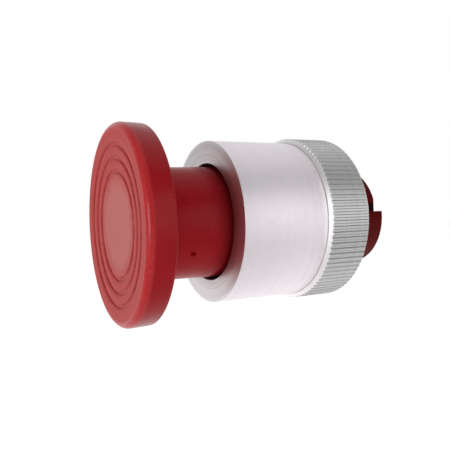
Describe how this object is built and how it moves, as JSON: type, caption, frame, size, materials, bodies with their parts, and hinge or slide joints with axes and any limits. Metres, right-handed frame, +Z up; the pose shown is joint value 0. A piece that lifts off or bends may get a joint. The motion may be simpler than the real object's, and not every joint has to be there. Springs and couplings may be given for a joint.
{
  "type": "emergency stop button",
  "caption": "Red mushroom-head emergency stop push button on a long metal collar, with a knurled clamp ring and a slotted tube that passes through the panel.",
  "frame": {"origin": "centre of the plane where the clamp ring's back face seats on the panel, on the button's axis", "axes": "+Y along the button's axis from the head to the rear tube, into the panel; +Z up; the head faces -Y"},
  "size_m": [0.04, 0.0588, 0.04],
  "materials": {
    "red_plastic": "satin",
    "tube_plastic": "satin",
    "satin_aluminium": "fine turned satin",
    "knurled_aluminium": "straight knurl",
    "bright_steel": "bright",
    "spring_steel": "drawn wire",
    "brass": "turned",
    "black_rubber": "matt",
    "white_plastic": "matt",
    "black_plastic": "matt"
  },
  "bodies": {
    "housing": {"front_collar": "satin_aluminium", "wiper_seal": "black_rubber", "seal_washer": "bright_steel", "guide_bush": "white_plastic", "buffer_washer": "black_rubber", "body_tube": "tube_plastic", "retaining_nut": "brass", "tube_o_ring": "black_rubber", "latch_block": "white_plastic", "latch_clip": "spring_steel", "inner_circlip": "spring_steel", "return_spring": "spring_steel"},
    "plunger": {"mushroom_head": "red_plastic", "head_insert": "brass", "neck_sleeve": "red_plastic", "spindle": "bright_steel", "spring_cup": "bright_steel", "stop_ring": "spring_steel", "pusher": "black_plastic", "pusher_washer": "spring_steel", "pusher_screw": "bright_steel"},
    "gasket_carrier": {"slip_washer": "bright_steel", "panel_gasket": "black_rubber"},
    "clamp_nut": {"clamp_ring": "knurled_aluminium"}
  },
  "joints": [
    {"name": "head_press", "type": "slide", "parent": "housing", "child": "plunger", "axis": [0, 1, 0], "range_m": [0, 0.006], "stiffness_N_per_m": 600, "springref_m": -0.006, "deforming": ["return_spring", "latch_clip"]},
    {"name": "ring_advance", "type": "slide", "parent": "housing", "child": "gasket_carrier", "axis": [0, 1, 0], "range_m": [0, 0.003]},
    {"name": "ring_turn", "type": "hinge", "parent": "gasket_carrier", "child": "clamp_nut", "pos_m": [0, 0, 0], "axis": [0, 1, 0], "range_deg": [0, 720]}
  ],
  "couplings": [
    {"joint": "ring_turn", "follows": "ring_advance", "rad_per_m": 4188.8}
  ]
}
